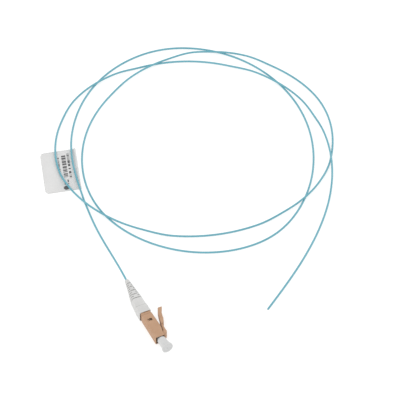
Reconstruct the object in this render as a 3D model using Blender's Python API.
"""Fibre optic pigtail: a small-form-factor plug on a buffered fibre that lies in a loose coil.

Blender 4.5 script, metres, +Z up. The plug lies on its side, as it rests on a bench.
Lengths below are in millimetres. Plug pieces are written in plug coordinates: X runs out of
the ferrule with 0 at the housing's front edge, Y points to the latch side, and the ferrule's
axis is y = z = 0. A distance "back" is measured from the front edge towards the fibre. An
empty carries the pieces to the part's frame, whose origin is the middle of the plug's underside.
"""
import math

import bmesh
import bpy
import numpy as np
from mathutils import Vector

MM = 0.001

# Clearances
SLIDE_GAP = 0.05        # round a piece that slides in another, on each side
SEAT_GAP = 0.10         # between pieces that are pressed together
FIBRE_GAP = 0.15        # round the buffered fibre in a hole, on each side
REST_GAP = 0.20         # between a strand and what it crosses or lies on

# Housing
HOUSING_SIZE = 4.52
HOUSING_LENGTH = 14.7
HOUSING_CORNER = 0.30
HOUSING_LEAD = 0.15     # chamfer at the front edge
HOUSING_FRONT_WALL = 0.40
HOUSING_REAR_WALL = 0.46
FRONT_DEPTH = 6.0
SHOULDER_THICKNESS = 1.0
WINDOW_WIDTH = 2.2
WINDOW_LENGTH = 1.4
WINDOW_BACK = 10.3      # to the window's front side
RIDGE_START = 2.4       # the latch side swells behind the latch's root
RIDGE_TOP = 6.5
RIDGE_TOP_RISE = 0.56
RIDGE_REAR_RISE = 0.34

# Release latch: how far its outer and its inner face stand over the housing's square
LATCH_GAP = 0.10
LATCH_ROOT_BACK = 0.30
LATCH_ROOT_RISE = 0.45
LATCH_KNEE_BACK = 1.92
LATCH_KNEE_RISE = 1.86
LATCH_KNEE_WIDTH = 4.1
LATCH_HINGE_BACK = 2.3
LATCH_ARM_BACK = 3.6
LATCH_ARM_RISE = 2.02
LATCH_ARM_INNER = 0.70
LATCH_ARM_WIDTH = 2.6
LATCH_SHOULDER_BACK = 6.9
LATCH_SHOULDER_RISE = 2.12
LATCH_SHOULDER_INNER = 1.40
LATCH_LUG_BACK = 7.3
LATCH_LUG_LENGTH = 2.6
LATCH_LUG_WIDTH = 4.2
LATCH_LUG_PROUD = 0.36
LATCH_CREST_BACK = 10.2
LATCH_CREST_RISE = 3.90
LATCH_CREST_INNER = 2.15
LATCH_BEND_BACK = 14.2
LATCH_BEND_RISE = 4.85
LATCH_BEND_INNER = 3.10
LATCH_THUMB_BACK = 16.9
LATCH_THUMB_RISE = 6.29
LATCH_THUMB_INNER = 4.20

# Ferrule and its holder
FERRULE_DIAMETER = 1.25
FERRULE_PROUD = 1.6
FERRULE_SEAT_DEPTH = 2.6    # behind the shoulder's front
FERRULE_CHAMFER = 0.20
FERRULE_TRAVEL = 1.0
HOLDER_NOSE_WALL = 0.37
HOLDER_FLANGE_PLAY = 0.20
HOLDER_FLANGE_LENGTH = 1.2
HOLDER_BARREL_WALL = 0.25
HOLDER_BARREL_LENGTH = 3.6

# Spring between the holder's flange and the rear body
SPRING_PLAY = 0.08          # between the wire and what is inside and outside it
SPRING_TURNS = 6.0
SPRING_STEPS = 12           # points in a turn

# Rear body, clipped into the housing
REAR_WALL = 0.31
REAR_FLANGE_SIZE = 4.25
REAR_FLANGE_REACH = 2.8     # behind the boot's front
REAR_STEM = 2.9
REAR_STEM_LENGTH = 4.0
TAB_BELOW_FACE = 0.15
TAB_ROOT = 0.15             # how deep a tab starts inside the rear body's wall

# Boot
BOOT_FRONT = 16.0
BOOT_COLLAR_SIZE = 5.5
BOOT_COLLAR_CORNER = 0.75
BOOT_COLLAR_LENGTH = 4.1
BOOT_MOUTH_WALL = 0.30
BOOT_MOUTH_DEPTH = 1.0
BOOT_RIM_ROUND = 0.15
BOOT_STEP_SIZE = 5.2
BOOT_STEP_LENGTH = 0.4
BOOT_WAIST_BACK = 26.2
BOOT_WAIST_SIZE = 4.95
BOOT_WAIST_ROUND = 0.45     # the corner's share of half the size, at the waist
BOOT_TAIL_ROUND = 0.92      # and at the tip
BOOT_BENDS = 6              # rings along the bent tail
BOOT_TIP_BACK = 39.0
BOOT_TIP_SIZE = 2.05
BOOT_TIP_ROUND = 0.25
BOOT_LEAN = 1.35            # how far the tip bends to the latch side
SLOT_PITCH = 1.325
SLOT_WIDTH = 0.50
SLOT_LEAD = 0.85            # how far in front of the waist the first slot starts
SLOT_END_MARGIN = 2.4       # solid length at the tip
SLOT_CORE_WALL = 0.25
SLOT_WEB_DEGREES = 44.0
SLOT_STEPS = 10

# Dust cap, which leans a little in the housing
CAP_STEM_DEPTH = 4.0
CAP_STEM = 2.85
CAP_BORE = 2.35
CAP_BORE_PAST = 0.7         # room in front of the ferrule
CAP_BODY = 3.85
CAP_FLARE = 5.2
CAP_LENGTH = 6.0
CAP_RIM = 0.7
CAP_LEAN_DEGREES = 4.7

# Buffered fibre and its route on the bench
FIBRE_DIAMETER = 0.9
FIBRE_START_GAP = 0.6       # behind the rear body's stem
NEAR_LENGTH = 130.0         # the stretch up to the label, which changes height most
NEAR_POINTS = 18
FAR_POINTS = 66
DROP_START = 4.0            # distance past the boot's tip where the fibre starts to sink
DROP_END = 44.0
ROUTE = (
    (-55.5, 0), (-85, 3.5), (-114, 11), (-139, 26.5), (-156.5, 50.5), (-160, 79.5),
    (-145, 105), (-119, 119), (-89.5, 121), (-61, 112.5), (-37, 95.5), (-21.5, 70),
    (-24.5, 41), (-43, 18), (-70.5, 7), (-99.5, 10.5), (-125.5, 25.5), (-143.5, 48.5),
    (-151.5, 77), (-144.5, 105.5), (-122.5, 125), (-94, 132.5), (-65.5, 125), (-43, 106),
    (-32, 78.5), (-33.5, 49), (-47, 22.5), (-70.5, 5), (-99, -0.5), (-127, 9.5),
    (-147, 31), (-153, 60), (-146, 89), (-127, 111.5), (-100, 124), (-70.5, 123.5),
    (-43, 113), (-19, 95), (1, 73), (18.5, 49),
)
# Where a later strand passes over an earlier one: distance along the fibre from the boot's tip,
# half the length of the hump's foot, and half the length of its level top.
HUMPS = (
    (564, 32, 14),
    (598, 28, 12),
    (730, 28, 12),
    (836, 38, 22),
    (933, 28, 14),
    (1034, 30, 14),
    (1090, 32, 14),
)
# Where a strand lies on the label: middle, half foot, half level top, and whether on the fold.
LABEL_STRANDS = (
    (81, 25, 15, True),
    (870, 36, 20, False),
)

# Folded label that the coil lies on
LABEL_LENGTH = 27.2
LABEL_WIDTH = 17.0
LABEL_THICKNESS = 0.30
LABEL_FOLD_WIDTH = 1.6
LABEL_FOLD_HEIGHT = 0.62
LABEL_CORNER = 2.0
LABEL_CENTRE = (-102.8, 0.7)
LABEL_TURN = -17.4
LABEL_SKEW = 4.0            # how far the two leaves' ends are from square to the fold

SQUARE_STEPS = 6            # points in each rounded corner
ROUND_SIDES = 4 * SQUARE_STEPS

# Places that follow from the sizes above
FRONT_OPENING = HOUSING_SIZE - 2 * HOUSING_FRONT_WALL
REAR_OPENING = HOUSING_SIZE - 2 * HOUSING_REAR_WALL
FERRULE_HOLE = FERRULE_DIAMETER + 2 * SEAT_GAP
FIBRE_HOLE = FIBRE_DIAMETER + 2 * FIBRE_GAP
NOSE_DIAMETER = FERRULE_HOLE + 2 * HOLDER_NOSE_WALL
SHOULDER_HOLE = NOSE_DIAMETER + 2 * SLIDE_GAP
SHOULDER_BACK = FRONT_DEPTH + SHOULDER_THICKNESS
FLANGE_FRONT = SHOULDER_BACK + SEAT_GAP
FLANGE_BACK = FLANGE_FRONT + HOLDER_FLANGE_LENGTH
BARREL_BACK = FLANGE_BACK + HOLDER_BARREL_LENGTH
BARREL_DIAMETER = FERRULE_HOLE + 2 * HOLDER_BARREL_WALL
REAR_FRONT = FLANGE_BACK + FERRULE_TRAVEL + SEAT_GAP
REAR_BORE_BACK = BARREL_BACK + FERRULE_TRAVEL + SEAT_GAP
REAR_PLUG_SIZE = REAR_OPENING - 2 * SEAT_GAP
REAR_BORE = REAR_PLUG_SIZE - 2 * REAR_WALL
SPRING_WIRE = (REAR_BORE - BARREL_DIAMETER) / 2 - 2 * SPRING_PLAY
REAR_FLANGE_FRONT = HOUSING_LENGTH + SEAT_GAP
REAR_FLANGE_BACK = BOOT_FRONT + REAR_FLANGE_REACH
REAR_STEM_BACK = REAR_FLANGE_BACK + REAR_STEM_LENGTH
COLLAR_BACK = BOOT_FRONT + BOOT_COLLAR_LENGTH
AXIS_HEIGHT = BOOT_COLLAR_SIZE / 2
LATCH_TOP = HOUSING_SIZE / 2 + LATCH_THUMB_RISE
CAP_LEAN = math.radians(CAP_LEAN_DEGREES)
CAP_REACH = ((CAP_LENGTH + CAP_STEM_DEPTH) * math.cos(CAP_LEAN) - CAP_STEM_DEPTH
             + CAP_FLARE / 2 * math.sin(CAP_LEAN))
PLUG_ORIGIN = Vector((
    (BOOT_TIP_BACK - CAP_REACH) / 2,
    (AXIS_HEIGHT - LATCH_TOP) / 2,
    AXIS_HEIGHT,
))


def clear_scene():
    for item in list(bpy.data.objects):
        bpy.data.objects.remove(item, do_unlink=True)


def finish(name, colour, roughness, metallic=0.0):
    """A plain material in the part's colour."""
    material = bpy.data.materials.new(name)
    material.use_nodes = True
    shader = material.node_tree.nodes["Principled BSDF"]
    shader.inputs["Base Color"].default_value = (*colour, 1.0)
    shader.inputs["Roughness"].default_value = roughness
    shader.inputs["Metallic"].default_value = metallic
    material.diffuse_color = (*colour, 1.0)
    return material


def solid(name, bm, material, parent=None, origin=(0.0, 0.0, 0.0)):
    """Makes an object from a mesh in millimetres, with its own origin at the given point."""
    bmesh.ops.recalc_face_normals(bm, faces=bm.faces)
    bmesh.ops.translate(bm, verts=bm.verts, vec=-Vector(origin))
    bmesh.ops.scale(bm, verts=bm.verts, vec=(MM, MM, MM))
    mesh = bpy.data.meshes.new(name)
    bm.to_mesh(mesh)
    bm.free()
    mesh.materials.append(material)
    item = bpy.data.objects.new(name, mesh)
    item.location = Vector(origin) * MM
    item.parent = parent
    bpy.context.collection.objects.link(item)
    return item


def square(back, size, corner):
    """A ring of points round a square with rounded corners, across the plug's axis."""
    ring = []
    inner = size / 2 - corner
    for quarter in range(4):
        middle = math.radians(90 * quarter + 45)
        centre_y = math.copysign(inner, math.cos(middle))
        centre_z = math.copysign(inner, math.sin(middle))
        for step in range(SQUARE_STEPS):
            angle = math.radians(90 * quarter + 90 * step / (SQUARE_STEPS - 1))
            y = centre_y + corner * math.cos(angle)
            z = centre_z + corner * math.sin(angle)
            ring.append((-back, y, z))
    return ring


def circle(back, diameter):
    """A ring of points round a circle, in step with the rings that square() gives."""
    ring = []
    for step in range(ROUND_SIDES):
        angle = 2 * math.pi * (step + 0.5) / ROUND_SIDES
        ring.append((-back, diameter / 2 * math.cos(angle), diameter / 2 * math.sin(angle)))
    return ring


def loft(rings, hollow):
    """Joins rings of equal count with faces: into a tube with walls, or a capped rod."""
    bm = bmesh.new()
    rows = [[bm.verts.new(point) for point in ring] for ring in rings]
    pairs = list(zip(rows, rows[1:]))
    if hollow:
        pairs.append((rows[-1], rows[0]))
    else:
        bm.faces.new(rows[0])
        bm.faces.new(rows[-1])
    skin(bm, pairs)
    return bm


def skin(bm, pairs):
    """Faces between each pair of rings."""
    for first, second in pairs:
        count = len(first)
        for k in range(count):
            after = (k + 1) % count
            bm.faces.new((first[k], first[after], second[after], second[k]))


def box(bm, low, high):
    """Adds a box between two corners to a mesh."""
    middle = (Vector(low) + Vector(high)) / 2
    made = bmesh.ops.create_cube(bm, size=1.0)
    bmesh.ops.scale(bm, verts=made["verts"], vec=Vector(high) - Vector(low))
    bmesh.ops.translate(bm, verts=made["verts"], vec=middle)


def combine(item, tool_mesh, parent, operation):
    """Cuts a tool mesh out of an object, or joins it on."""
    tool = solid(item.name + "_tool", tool_mesh, item.data.materials[0], parent)
    tool.hide_render = True
    tool.display_type = "WIRE"
    step = item.modifiers.new(operation.title(), "BOOLEAN")
    step.operation = operation
    step.solver = "EXACT"
    step.object = tool


def ridged(ring, rise):
    """A ring of the housing with its latch side raised."""
    return [(x, y + rise if y > 0 else y, z) for x, y, z in ring]


def make_housing(material, parent):
    """A square shell with a cavity for the adapter's sleeve, a shoulder and a rear cavity."""
    lead = HOUSING_LEAD
    rings = [
        square(0.0, HOUSING_SIZE - 2 * lead, HOUSING_CORNER),
        square(lead, HOUSING_SIZE, HOUSING_CORNER),
        square(RIDGE_START, HOUSING_SIZE, HOUSING_CORNER),
        ridged(square(RIDGE_TOP, HOUSING_SIZE, HOUSING_CORNER), RIDGE_TOP_RISE),
        ridged(square(HOUSING_LENGTH, HOUSING_SIZE, HOUSING_CORNER), RIDGE_REAR_RISE),
        square(HOUSING_LENGTH, REAR_OPENING, HOUSING_CORNER),
        square(SHOULDER_BACK, REAR_OPENING, HOUSING_CORNER),
        circle(SHOULDER_BACK, SHOULDER_HOLE),
        circle(FRONT_DEPTH, SHOULDER_HOLE),
        square(FRONT_DEPTH, FRONT_OPENING, HOUSING_CORNER),
        square(0.0, FRONT_OPENING, HOUSING_CORNER),
    ]
    housing = solid("housing", loft(rings, hollow=True), material, parent)
    windows = bmesh.new()
    box(windows, (-WINDOW_BACK - WINDOW_LENGTH, -WINDOW_WIDTH / 2, -HOUSING_SIZE),
        (-WINDOW_BACK, WINDOW_WIDTH / 2, HOUSING_SIZE))
    combine(housing, windows, parent, "DIFFERENCE")


def latch_rise(back):
    """How far the latch's outer face stands over the housing at a distance back."""
    places = (LATCH_ROOT_BACK, LATCH_KNEE_BACK, LATCH_ARM_BACK, LATCH_SHOULDER_BACK,
              LATCH_CREST_BACK, LATCH_BEND_BACK, LATCH_THUMB_BACK)
    rises = (LATCH_ROOT_RISE, LATCH_KNEE_RISE, LATCH_ARM_RISE, LATCH_SHOULDER_RISE,
             LATCH_CREST_RISE, LATCH_BEND_RISE, LATCH_THUMB_RISE)
    return np.interp(back, places, rises)


def latch_inner(back):
    """How far its inner face stands over the housing, which it reaches at the root."""
    places = (LATCH_HINGE_BACK, LATCH_ARM_BACK, LATCH_SHOULDER_BACK,
              LATCH_CREST_BACK, LATCH_BEND_BACK, LATCH_THUMB_BACK)
    rises = (LATCH_GAP, LATCH_ARM_INNER, LATCH_SHOULDER_INNER,
             LATCH_CREST_INNER, LATCH_BEND_INNER, LATCH_THUMB_INNER)
    return np.interp(back, places, rises)


def latch_ring(back, width, proud=0.0):
    """A rectangular ring across the latch."""
    high = HOUSING_SIZE / 2 + latch_rise(back) + proud
    low = HOUSING_SIZE / 2 + latch_inner(back)
    side = width / 2
    return [(-back, low, -side), (-back, high, -side), (-back, high, side), (-back, low, side)]


def make_latch(material, parent):
    """A rising arm with two locking lugs and a thumb end, on a root at the front."""
    lug_back = LATCH_LUG_BACK + LATCH_LUG_LENGTH
    rings = [
        latch_ring(LATCH_ROOT_BACK, LATCH_KNEE_WIDTH),
        latch_ring(LATCH_KNEE_BACK, LATCH_KNEE_WIDTH),
        latch_ring(LATCH_HINGE_BACK, LATCH_KNEE_WIDTH),
        latch_ring(LATCH_ARM_BACK, LATCH_ARM_WIDTH),
        latch_ring(LATCH_SHOULDER_BACK, LATCH_ARM_WIDTH),
        latch_ring(LATCH_LUG_BACK, LATCH_ARM_WIDTH),
        latch_ring(LATCH_LUG_BACK, LATCH_LUG_WIDTH, LATCH_LUG_PROUD),
        latch_ring(lug_back, LATCH_LUG_WIDTH, LATCH_LUG_PROUD / 2),
        latch_ring(lug_back, LATCH_ARM_WIDTH),
        latch_ring(LATCH_CREST_BACK, LATCH_ARM_WIDTH),
        latch_ring(LATCH_BEND_BACK, LATCH_ARM_WIDTH),
        latch_ring(LATCH_THUMB_BACK, LATCH_ARM_WIDTH),
    ]
    pivot = (-LATCH_HINGE_BACK, HOUSING_SIZE / 2 + LATCH_GAP, 0.0)
    solid("release_latch", loft(rings, hollow=False), material, parent, pivot)


def make_ferrule(material, parent):
    rings = [
        circle(-FERRULE_PROUD, FERRULE_DIAMETER - 2 * FERRULE_CHAMFER),
        circle(FERRULE_CHAMFER - FERRULE_PROUD, FERRULE_DIAMETER),
        circle(FRONT_DEPTH + FERRULE_SEAT_DEPTH, FERRULE_DIAMETER),
    ]
    solid("ferrule", loft(rings, hollow=False), material, parent)


def make_holder(material, parent):
    """The flanged sleeve behind the ferrule: the spring pushes its flange to the shoulder."""
    nose_front = FRONT_DEPTH + SEAT_GAP
    seat_back = FRONT_DEPTH + FERRULE_SEAT_DEPTH + SEAT_GAP
    flange = REAR_OPENING - 2 * HOLDER_FLANGE_PLAY
    rings = [
        circle(nose_front, NOSE_DIAMETER),
        circle(FLANGE_FRONT, NOSE_DIAMETER),
        circle(FLANGE_FRONT, flange),
        circle(FLANGE_BACK, flange),
        circle(FLANGE_BACK, BARREL_DIAMETER),
        circle(BARREL_BACK, BARREL_DIAMETER),
        circle(BARREL_BACK, FIBRE_HOLE),
        circle(seat_back, FIBRE_HOLE),
        circle(seat_back, FERRULE_HOLE),
        circle(nose_front, FERRULE_HOLE),
    ]
    solid("ferrule_holder", loft(rings, hollow=True), material, parent)


def make_spring(material, parent):
    """A short helix of wire round the holder's barrel."""
    start = -FLANGE_BACK - SEAT_GAP - SPRING_WIRE / 2
    end = -REAR_BORE_BACK + SEAT_GAP + SPRING_WIRE / 2
    radius = (BARREL_DIAMETER + REAR_BORE) / 4
    turn = np.linspace(0.0, SPRING_TURNS, int(SPRING_TURNS * SPRING_STEPS) + 1)
    angle = 2 * math.pi * turn
    along = start + (end - start) * turn / SPRING_TURNS
    path = np.stack([along, radius * np.cos(angle), radius * np.sin(angle)], axis=1)
    wire("spring", path, SPRING_WIRE, 1, material, parent)


def make_rear_body(material, parent):
    """The clip-in rear body: tabs in the windows, a visible flange and a stem for the boot."""
    rings = [
        square(REAR_FRONT, REAR_PLUG_SIZE, HOUSING_CORNER),
        square(REAR_FLANGE_FRONT, REAR_PLUG_SIZE, HOUSING_CORNER),
        square(REAR_FLANGE_FRONT, REAR_FLANGE_SIZE, HOUSING_CORNER),
        square(REAR_FLANGE_BACK, REAR_FLANGE_SIZE, HOUSING_CORNER),
        circle(REAR_FLANGE_BACK, REAR_STEM),
        circle(REAR_STEM_BACK, REAR_STEM),
        circle(REAR_STEM_BACK, FIBRE_HOLE),
        circle(REAR_BORE_BACK, FIBRE_HOLE),
        circle(REAR_BORE_BACK, REAR_BORE),
        circle(REAR_FRONT, REAR_BORE),
    ]
    body = solid("rear_body", loft(rings, hollow=True), material, parent)
    tabs = bmesh.new()
    inside = REAR_PLUG_SIZE / 2 - TAB_ROOT
    reach = HOUSING_SIZE / 2 - TAB_BELOW_FACE
    tab_front = -WINDOW_BACK - SEAT_GAP
    tab_back = SEAT_GAP - WINDOW_BACK - WINDOW_LENGTH
    half = WINDOW_WIDTH / 2 - SEAT_GAP
    for side in (1, -1):
        low, high = sorted((side * inside, side * reach))
        box(tabs, (tab_back, -half, low), (tab_front, half, high))
    combine(body, tabs, parent, "UNION")


def boot_lean(back):
    """How far the boot's middle line stands off the plug's axis, to the latch side."""
    share = np.clip((back - COLLAR_BACK) / (BOOT_TIP_BACK - COLLAR_BACK), 0.0, 1.0)
    return BOOT_LEAN * share ** 2 * (7 - 4 * share) / 3


def leaning(ring):
    """A ring of the boot, moved on to its bent middle line."""
    return [(x, y + boot_lean(-x), z) for x, y, z in ring]


def slot_cutters():
    """Flat sectors that notch the boot from two opposite sides, turned a quarter each step."""
    bm = bmesh.new()
    core = FIBRE_HOLE / 2 + SLOT_CORE_WALL
    outer = BOOT_COLLAR_SIZE
    span = math.radians(180 - SLOT_WEB_DEGREES)
    first_slot = BOOT_WAIST_BACK - SLOT_LEAD
    room = BOOT_TIP_BACK - SLOT_END_MARGIN - first_slot
    for index in range(int(room / SLOT_PITCH) + 1):
        front = first_slot + index * SLOT_PITCH
        back = front + SLOT_WIDTH
        corners = ((front, core), (front, outer), (back, outer), (back, core))
        for side in (0, 1):
            middle = math.pi * side + math.pi / 2 * ((index + 1) % 2)
            rows = []
            for step in range(SLOT_STEPS + 1):
                angle = middle + span * (step / SLOT_STEPS - 0.5)
                ring = [(-x, r * math.cos(angle), r * math.sin(angle)) for x, r in corners]
                rows.append([bm.verts.new(point) for point in leaning(ring)])
            bm.faces.new(rows[0])
            bm.faces.new(rows[-1])
            skin(bm, list(zip(rows, rows[1:])))
    return bm


def tail_ring(back):
    """A ring of the boot's tail, which narrows evenly and becomes round at the tip."""
    share = (back - BOOT_WAIST_BACK) / (BOOT_TIP_BACK - BOOT_TIP_ROUND - BOOT_WAIST_BACK)
    size = BOOT_WAIST_SIZE + (BOOT_TIP_SIZE - BOOT_WAIST_SIZE) * share
    corner = size / 2 * (BOOT_WAIST_ROUND + (BOOT_TAIL_ROUND - BOOT_WAIST_ROUND) * share)
    return square(back, size, corner)


def make_boot(material, parent):
    """The strain relief: a square collar over the rear body and a tapered, slotted tail."""
    mouth = BOOT_COLLAR_SIZE - 2 * BOOT_MOUTH_WALL
    mouth_back = BOOT_FRONT + BOOT_MOUTH_DEPTH
    pocket = REAR_FLANGE_SIZE + 2 * SEAT_GAP
    pocket_back = REAR_FLANGE_BACK + SEAT_GAP
    stem_hole = REAR_STEM + 2 * SEAT_GAP
    stem_back = REAR_STEM_BACK + SEAT_GAP
    step_back = COLLAR_BACK + BOOT_STEP_LENGTH
    tip_front = BOOT_TIP_BACK - BOOT_TIP_ROUND
    rim = BOOT_RIM_ROUND
    bore_places = np.linspace(BOOT_TIP_BACK, stem_back, BOOT_BENDS)
    rings = [
        square(BOOT_FRONT, BOOT_COLLAR_SIZE - 2 * rim, BOOT_COLLAR_CORNER),
        square(BOOT_FRONT + rim, BOOT_COLLAR_SIZE, BOOT_COLLAR_CORNER),
        square(COLLAR_BACK, BOOT_COLLAR_SIZE, BOOT_COLLAR_CORNER),
        square(step_back, BOOT_STEP_SIZE, BOOT_COLLAR_CORNER),
        *(tail_ring(back) for back in np.linspace(BOOT_WAIST_BACK, tip_front, BOOT_BENDS)),
        circle(BOOT_TIP_BACK, BOOT_TIP_SIZE - 2 * BOOT_TIP_ROUND),
        *(circle(back, FIBRE_HOLE) for back in bore_places),
        circle(stem_back, stem_hole),
        circle(pocket_back, stem_hole),
        square(pocket_back, pocket, HOUSING_CORNER),
        square(mouth_back, pocket, HOUSING_CORNER),
        square(mouth_back, mouth, BOOT_COLLAR_CORNER),
        square(BOOT_FRONT, mouth, BOOT_COLLAR_CORNER),
    ]
    rings = [leaning(ring) for ring in rings]
    boot = solid("strain_relief_boot", loft(rings, hollow=True), material, parent)
    combine(boot, slot_cutters(), parent, "DIFFERENCE")


def cap_lean(ring):
    """A ring of the cap, turned about the cap's inner end so that the cap leans to the latch."""
    turned = []
    for x, y, z in ring:
        reach = x + CAP_STEM_DEPTH
        turned.append((reach * math.cos(CAP_LEAN) - y * math.sin(CAP_LEAN) - CAP_STEM_DEPTH,
                       reach * math.sin(CAP_LEAN) + y * math.cos(CAP_LEAN), z))
    return turned


def make_cap(material, parent):
    """The dust cap: a stem in the housing, a round body and a flared end, bored for the ferrule."""
    waist = (CAP_BODY + CAP_FLARE) / 2
    rings = [
        circle(-FERRULE_PROUD - CAP_BORE_PAST, CAP_BORE),
        circle(CAP_STEM_DEPTH, CAP_BORE),
        circle(CAP_STEM_DEPTH, CAP_STEM),
        circle(-2 * SEAT_GAP, CAP_STEM),
        circle(-2 * SEAT_GAP, CAP_BODY),
        circle(-CAP_LENGTH / 2, (CAP_BODY * 2 + waist) / 3),
        circle(2 * CAP_RIM - CAP_LENGTH, waist),
        circle(CAP_RIM - CAP_LENGTH, CAP_FLARE),
        circle(-CAP_LENGTH, CAP_FLARE),
    ]
    rings = [cap_lean(ring) for ring in rings]
    solid("dust_cap", loft(rings, hollow=False), material, parent)


def wire(name, path, diameter, resolution, material, parent=None):
    """A round solid carried along a path of points in millimetres."""
    curve = bpy.data.curves.new(name, "CURVE")
    curve.dimensions = "3D"
    curve.bevel_depth = diameter / 2 * MM
    curve.bevel_resolution = resolution
    curve.use_fill_caps = True
    spline = curve.splines.new("POLY")
    spline.points.add(len(path) - 1)
    spline.points.foreach_set("co", np.c_[path * MM, np.ones(len(path))].ravel())
    curve.materials.append(material)
    item = bpy.data.objects.new(name, curve)
    item.parent = parent
    bpy.context.collection.objects.link(item)
    return item


def spline_through(points):
    """A natural cubic spline through the points: distances along it, and places."""
    knots = np.concatenate([[0.0], np.cumsum(np.linalg.norm(np.diff(points, axis=0), axis=1))])
    step = np.diff(knots)
    count = len(points)
    change = np.diff(points, axis=0) / step[:, None]
    matrix = np.eye(count)
    target = np.zeros_like(points)
    for k in range(1, count - 1):
        matrix[k, k - 1:k + 2] = step[k - 1], 2 * (step[k - 1] + step[k]), step[k]
        target[k] = 6 * (change[k] - change[k - 1])
    bend = np.linalg.solve(matrix, target)
    fine = np.linspace(0.0, knots[-1], 20 * count)
    k = np.clip(np.searchsorted(knots, fine, side="right") - 1, 0, count - 2)
    before = (fine - knots[k])[:, None]
    after = (knots[k + 1] - fine)[:, None]
    width = step[k][:, None]
    line = (bend[k] * after ** 3 + bend[k + 1] * before ** 3) / (6 * width)
    line += (points[k] / width - bend[k] * width / 6) * after
    line += (points[k + 1] / width - bend[k + 1] * width / 6) * before
    travel = np.concatenate([[0.0], np.cumsum(np.linalg.norm(np.diff(line, axis=0), axis=1))])
    return travel, line


def smooth_step(value):
    value = np.clip(value, 0.0, 1.0)
    return value * value * (3 - 2 * value)


def bump(travel, middle, foot, level):
    """One along the level top, falling smoothly to nought at the foot."""
    return smooth_step((foot - np.abs(travel - middle)) / (foot - level))


def fibre_height(travel):
    """Height of the fibre's centre over the bench at a distance from the boot's tip."""
    radius = FIBRE_DIAMETER / 2
    drop = smooth_step((travel - DROP_START) / (DROP_END - DROP_START))
    height = AXIS_HEIGHT + (radius - AXIS_HEIGHT) * drop
    for middle, foot, level in HUMPS:
        height = height + (FIBRE_DIAMETER + REST_GAP) * bump(travel, middle, foot, level)
    for middle, foot, level, on_fold in LABEL_STRANDS:
        under = LABEL_FOLD_HEIGHT if on_fold else LABEL_THICKNESS
        height = np.maximum(height, radius + (under + REST_GAP) * bump(travel, middle, foot, level))
    return height


def fibre_path():
    """Points along the fibre, from inside the boot to its free end, in the part's frame."""
    start = REAR_STEM_BACK + FIBRE_START_GAP
    inside = [(PLUG_ORIGIN.x - back, PLUG_ORIGIN.y + boot_lean(back))
              for back in np.linspace(start, BOOT_TIP_BACK, 4)]
    travel, line = spline_through(np.array(inside + list(ROUTE), dtype=float))
    near = np.linspace(0.0, NEAR_LENGTH, NEAR_POINTS)
    far = np.linspace(NEAR_LENGTH, travel[-1], FAR_POINTS)[1:]
    along = np.concatenate([near, far])
    flat = np.stack([np.interp(along, travel, axis) for axis in line.T], axis=1)
    return np.c_[flat, fibre_height(along - (BOOT_TIP_BACK - start))]


def make_fibre(material):
    wire("buffered_fibre", fibre_path(), FIBRE_DIAMETER, 2, material)


def make_label(material):
    """A flag label folded to two leaves, with a rounded fold along one side."""
    fold = LABEL_WIDTH - LABEL_FOLD_WIDTH
    round_in = LABEL_FOLD_WIDTH / 4
    profile = (
        (0.0, 0.0), (LABEL_WIDTH - round_in, 0.0), (LABEL_WIDTH, LABEL_FOLD_HEIGHT / 2),
        (LABEL_WIDTH - round_in, LABEL_FOLD_HEIGHT), (fold + round_in, LABEL_FOLD_HEIGHT),
        (fold, LABEL_THICKNESS), (0.0, LABEL_THICKNESS),
    )
    turn = math.radians(LABEL_TURN)
    lean = math.radians(LABEL_TURN + 90 + LABEL_SKEW)
    length_way = np.array((math.cos(turn), math.sin(turn)))
    width_way = np.array((math.cos(lean), math.sin(lean)))
    corner = np.radians(np.linspace(0, 90, 5))
    inset = LABEL_CORNER * (1 - np.sin(corner))
    end = LABEL_CORNER * (1 - np.cos(corner))
    places = np.concatenate([end, LABEL_LENGTH - end[::-1]])
    edges = np.concatenate([inset, inset[::-1]])
    rings = []
    for place, edge in zip(places, edges):
        ring = []
        for width, height in profile:
            across = max(width, edge) - LABEL_WIDTH / 2
            spot = (place - LABEL_LENGTH / 2) * length_way + across * width_way
            ring.append((LABEL_CENTRE[0] + spot[0], LABEL_CENTRE[1] + spot[1], height))
        rings.append(ring)
    solid("flag_label", loft(rings, hollow=False), material)


def main():
    clear_scene()
    beige = finish("beige_plastic", (0.60, 0.41, 0.28), 0.42)
    white = finish("white_plastic", (0.78, 0.79, 0.78), 0.40)
    milky = finish("milky_plastic", (0.80, 0.82, 0.82), 0.35)
    ceramic = finish("white_ceramic", (0.86, 0.86, 0.84), 0.20)
    metal = finish("bright_metal", (0.62, 0.61, 0.58), 0.32, 1.0)
    aqua = finish("aqua_buffer", (0.22, 0.52, 0.58), 0.38)
    paper = finish("label_paper", (0.80, 0.80, 0.79), 0.60)
    plug = bpy.data.objects.new("plug_frame", None)
    plug.location = PLUG_ORIGIN * MM
    bpy.context.collection.objects.link(plug)
    make_housing(beige, plug)
    make_latch(beige, plug)
    make_ferrule(ceramic, plug)
    make_holder(metal, plug)
    make_spring(metal, plug)
    make_rear_body(beige, plug)
    make_boot(white, plug)
    make_cap(milky, plug)
    make_fibre(aqua)
    make_label(paper)
    bpy.context.view_layer.update()


main()
